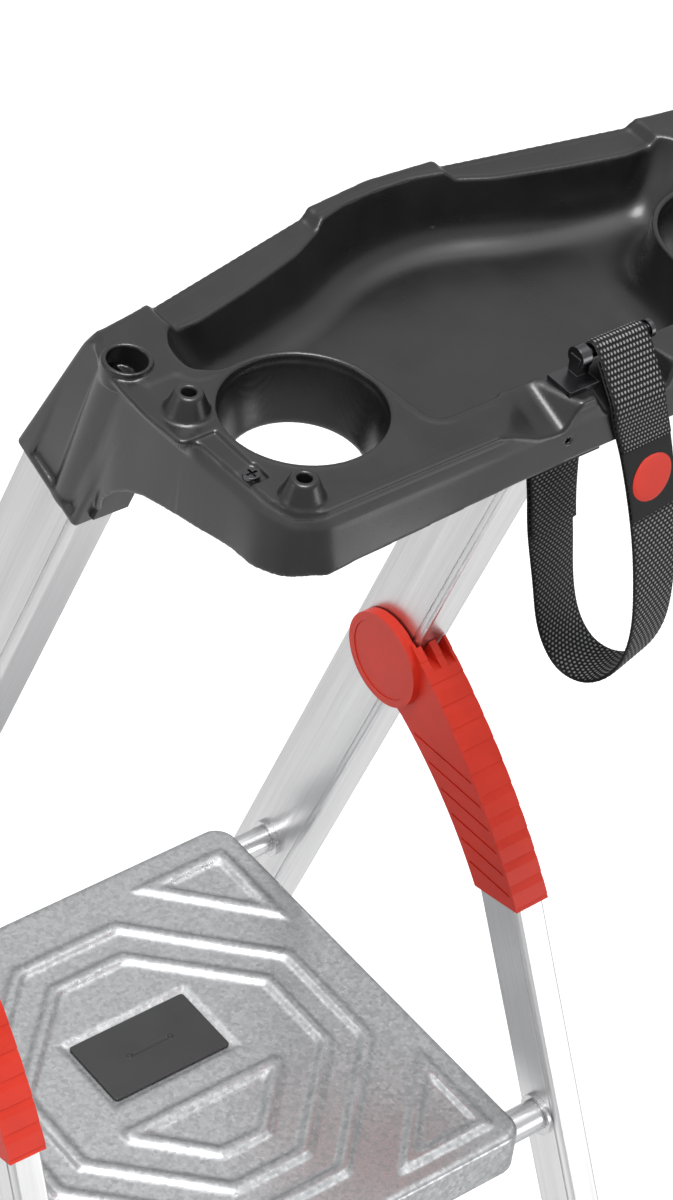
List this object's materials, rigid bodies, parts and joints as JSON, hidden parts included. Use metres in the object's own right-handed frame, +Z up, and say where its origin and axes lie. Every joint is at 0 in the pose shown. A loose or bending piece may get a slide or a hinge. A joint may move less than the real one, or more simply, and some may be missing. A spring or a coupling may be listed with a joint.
{
  "type": "step ladder",
  "caption": "Folding step ladder with a pressed platform, ribbed treads, plastic hinge arms and a moulded tool tray with cup holes and a strap loop.",
  "frame": {"origin": "On the floor, in the middle of the ladder's box as it stands open.", "axes": "+Z is up, +Y points from the climber's side to the rear frame, +X is to the right of someone who looks along -Y; the ladder is mirrored across X = 0 but for its strap and hook."},
  "size_m": [0.432, 1.2152, 1.7909],
  "materials": {
    "aluminium": "brushed lengthwise",
    "aluminium_tread": "ribbed, brushed",
    "tube_steel": "plated tube",
    "galvanised_sheet": "galvanised, mottled",
    "bolt_steel": "plated",
    "rivet_alloy": "plain",
    "tray_plastic": "satin, moulded",
    "black_plastic": "satin",
    "red_plastic": "satin gloss, moulded",
    "black_rubber": "matte",
    "webbing": "coarse weave",
    "patch": "smooth"
  },
  "bodies": {
    "front_frame": {"stile_right": "aluminium", "stile_left": "aluminium", "front_foot_right": "black_rubber", "front_foot_left": "black_rubber", "tread_1": "aluminium_tread", "tread_2": "aluminium_tread", "tread_3": "aluminium_tread", "tread_4": "aluminium_tread", "tread_end_caps": "black_plastic", "tread_rivets": "rivet_alloy", "front_tube": "tube_steel", "front_tube_bushes": "black_plastic", "front_tube_bolts": "bolt_steel", "hinge_pins": "bolt_steel", "tray": "tray_plastic", "tray_screws": "bolt_steel", "sleeve_liners": "black_plastic", "strap_hook": "bolt_steel", "cable_strap": "webbing", "strap_fold": "webbing", "strap_patch": "patch", "strap_lap": "webbing", "strap_anchor": "black_plastic"},
    "rear_frame": {"rear_leg_right": "aluminium", "rear_leg_left": "aluminium", "rear_foot_right": "black_rubber", "rear_foot_left": "black_rubber", "hinge_arm_right": "red_plastic", "hinge_arm_left": "red_plastic", "hinge_cap_right": "red_plastic", "hinge_cap_left": "red_plastic", "rear_tube": "tube_steel", "rear_tube_bushes": "black_plastic", "rear_tube_bolts": "bolt_steel", "rear_brace_lower": "aluminium", "rear_brace_upper": "aluminium", "rear_brace_rivets": "rivet_alloy"},
    "platform": {"platform_sheet": "galvanised_sheet", "platform_plate": "black_plastic", "platform_sleeves": "galvanised_sheet", "platform_saddles": "galvanised_sheet", "platform_stiffeners": "galvanised_sheet"}
  },
  "joints": [
    {"name": "rear_frame_fold", "type": "hinge", "parent": "front_frame", "child": "rear_frame", "pos_m": [0, -0.09239, 1.35], "axis": [1, 0, 0], "range_deg": [-41, 0]},
    {"name": "platform_fold", "type": "hinge", "parent": "front_frame", "child": "platform", "pos_m": [0, -0.17858, 1.138], "axis": [1, 0, 0], "range_deg": [0, 65.6]}
  ],
  "couplings": [
    {"joint": "platform_fold", "follows": "rear_frame_fold", "ratio": -1.6}
  ]
}
